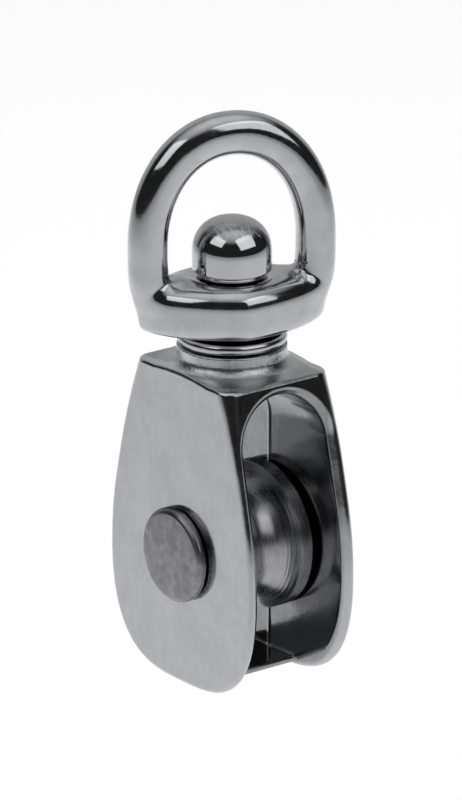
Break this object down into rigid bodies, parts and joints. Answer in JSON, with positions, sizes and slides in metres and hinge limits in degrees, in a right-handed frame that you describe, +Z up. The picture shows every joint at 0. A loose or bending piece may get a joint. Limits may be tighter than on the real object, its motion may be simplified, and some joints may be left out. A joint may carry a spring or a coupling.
{
  "type": "single sheave block",
  "caption": "Cast pulley block with a swivelling D-shaped eye and a grooved sheave that turns on a riveted axle between two cheeks.",
  "frame": {"origin": "the point inside the top of the eye that the block hangs by", "axes": "+Z up along the swivel axis, +Y along the sheave's axle away from its head, +X out of the rope opening"},
  "size_m": [0.0386, 0.033, 0.0966],
  "materials": {
    "casting": "polished casting, left grainy round the neck",
    "eye": "mirror polished casting",
    "pin": "mirror polished rivet",
    "washer": "polished ring",
    "axle": "dull turned rivet",
    "sheave": "turned, with fine rings",
    "bush": "plain bearing bronze"
  },
  "bodies": {
    "eye": {"swivel_eye": "eye"},
    "block": {"block_body": "casting", "swivel_pin": "pin", "thrust_washer": "washer", "axle_pin": "axle"},
    "sheave": {"sheave": "sheave", "sheave_bush": "bush"}
  },
  "joints": [
    {"name": "swivel", "type": "hinge", "parent": "eye", "child": "block", "pos_m": [0, 0, 0], "axis": [0, 0, 1], "continuous": true},
    {"name": "sheave_spin", "type": "hinge", "parent": "block", "child": "sheave", "pos_m": [0, 0, -0.0667], "axis": [0, 1, 0], "continuous": true}
  ]
}
